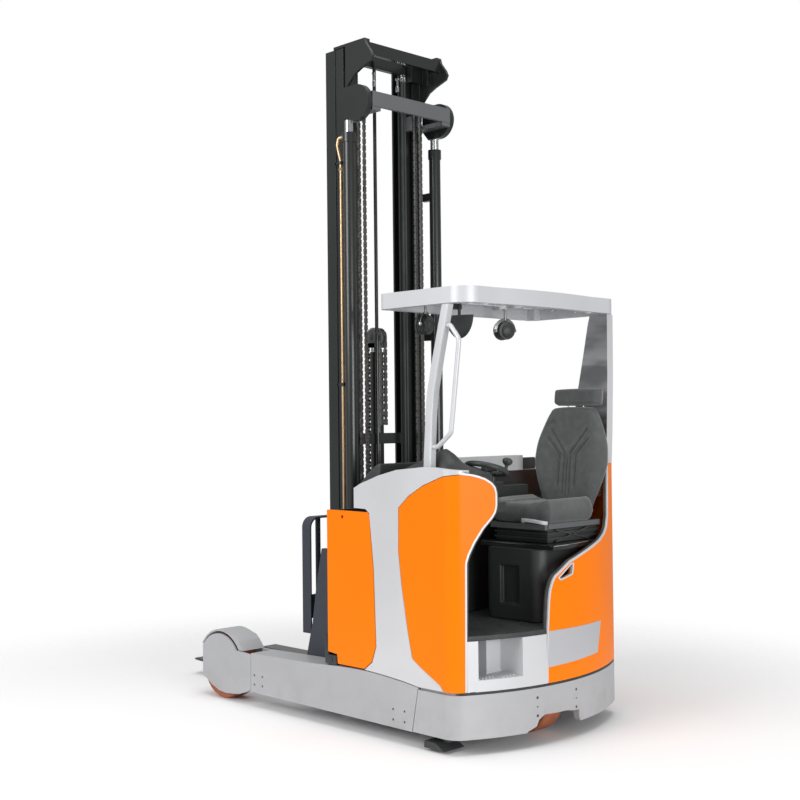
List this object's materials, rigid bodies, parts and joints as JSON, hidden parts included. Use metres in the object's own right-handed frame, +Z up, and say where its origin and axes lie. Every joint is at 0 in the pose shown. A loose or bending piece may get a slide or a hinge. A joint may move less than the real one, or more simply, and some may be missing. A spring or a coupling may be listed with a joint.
{
  "type": "reach truck",
  "caption": "Sit-on reach truck with wheel arms, triplex lift mast, tilting forks, side-facing seat and overhead guard, for stacking pallets in warehouse racking.",
  "frame": {"origin": "floor level, under the centre of the bounding box in plan", "axes": "+Z up, +Y towards the fork tips, +X to the truck's right-hand side"},
  "size_m": [1.27, 2.697, 3.642],
  "materials": {
    "battery_case": "matt",
    "black_plastic": "matt",
    "black_rubber": "matt",
    "chain_steel": "oiled",
    "chrome_rod": "polished",
    "dark_steel": "satin",
    "grey_steel": "satin",
    "orange_panel": "gloss",
    "pipe_metal": "satin",
    "polyurethane": "matt",
    "seat_fabric": "woven",
    "sign_plate": "brushed",
    "silver_panel": "satin",
    "slate_steel": "satin",
    "wheel_steel": "matt",
    "white_panel": "satin",
    "yoke_grey": "satin"
  },
  "bodies": {
    "chassis": {"chassis": "grey_steel", "wheel_arm_left": "grey_steel", "wheel_arm_right": "grey_steel", "arm_guard_left": "grey_steel", "arm_guard_right": "grey_steel", "stabiliser_pad": "black_rubber", "side_panel": "silver_panel", "corner_panel": "orange_panel", "rear_panel": "orange_panel", "name_plate_blank": "sign_plate", "step_panel": "silver_panel", "right_shell": "silver_panel", "battery": "battery_case", "battery_cover": "orange_panel", "battery_bracket": "dark_steel", "hood": "black_plastic", "dash": "black_plastic", "side_console": "black_plastic", "floor_mat": "black_rubber", "seat_pedestal": "black_plastic", "seat_plate": "dark_steel", "seat_suspension": "black_rubber", "seat_cushion": "seat_fabric", "seat_back": "seat_fabric", "head_rest": "seat_fabric", "arm_console": "black_plastic", "steering_column": "black_plastic", "guard_roof": "white_panel", "front_pillar": "silver_panel", "rear_pillar": "silver_panel", "grab_handle": "silver_panel", "work_lights": "black_plastic", "mirror_unit": "black_plastic"},
    "drive_steer": {"drive_unit": "wheel_steel"},
    "drive_wheel": {"drive_tyre": "polyurethane", "drive_hub": "wheel_steel"},
    "load_wheel_left": {"load_tyre_left": "polyurethane", "load_hub_left": "wheel_steel"},
    "load_wheel_right": {"load_tyre_right": "polyurethane", "load_hub_right": "wheel_steel"},
    "steering_wheel": {"steering_wheel": "black_plastic"},
    "reach_mast": {"reach_carriage": "slate_steel", "outer_mast": "dark_steel", "lift_cylinders": "dark_steel", "mast_pipe": "pipe_metal"},
    "middle_mast": {"middle_mast": "dark_steel", "yoke": "yoke_grey", "lift_chains": "chain_steel"},
    "inner_mast": {"inner_mast": "dark_steel", "free_cylinder": "dark_steel"},
    "free_lift_rod": {"free_rod": "chrome_rod"},
    "lift_carriage": {"carriage": "dark_steel"},
    "forks": {"fork_frame": "slate_steel", "fork_left": "dark_steel", "fork_right": "dark_steel"}
  },
  "joints": [
    {"name": "steer", "type": "hinge", "parent": "chassis", "child": "drive_steer", "pos_m": [0, -1.0825, 0.4], "axis": [0, 0, 1], "range_deg": [-90, 90]},
    {"name": "drive_roll", "type": "hinge", "parent": "drive_steer", "child": "drive_wheel", "pos_m": [0, -1.0825, 0.18], "axis": [1, 0, 0], "continuous": true},
    {"name": "load_roll_left", "type": "hinge", "parent": "chassis", "child": "load_wheel_left", "pos_m": [-0.553, 0.6585, 0.1775], "axis": [1, 0, 0], "continuous": true},
    {"name": "load_roll_right", "type": "hinge", "parent": "chassis", "child": "load_wheel_right", "pos_m": [0.553, 0.6585, 0.1775], "axis": [1, 0, 0], "continuous": true},
    {"name": "steering_wheel_turn", "type": "hinge", "parent": "chassis", "child": "steering_wheel", "pos_m": [-0.285, -1.0775, 1.322], "axis": [0.309, 0, 0.9511], "continuous": true},
    {"name": "reach", "type": "slide", "parent": "chassis", "child": "reach_mast", "axis": [0, 1, 0], "range_m": [0, 0.5]},
    {"name": "mast_lift", "type": "slide", "parent": "reach_mast", "child": "middle_mast", "axis": [0, 0, 1], "range_m": [0, 2.8]},
    {"name": "mast_lift_inner", "type": "slide", "parent": "middle_mast", "child": "inner_mast", "axis": [0, 0, 1], "range_m": [0, 2.8]},
    {"name": "free_lift", "type": "slide", "parent": "inner_mast", "child": "lift_carriage", "axis": [0, 0, 1], "range_m": [0, 2.4]},
    {"name": "free_lift_ram", "type": "slide", "parent": "inner_mast", "child": "free_lift_rod", "axis": [0, 0, 1], "range_m": [0, 1.2]},
    {"name": "fork_tilt", "type": "hinge", "parent": "lift_carriage", "child": "forks", "pos_m": [0, 0.1345, 0.2], "axis": [1, 0, 0], "range_deg": [-2, 4]}
  ],
  "couplings": [
    {"joint": "mast_lift_inner", "follows": "mast_lift", "ratio": 1},
    {"joint": "free_lift_ram", "follows": "free_lift", "ratio": 0.5}
  ]
}
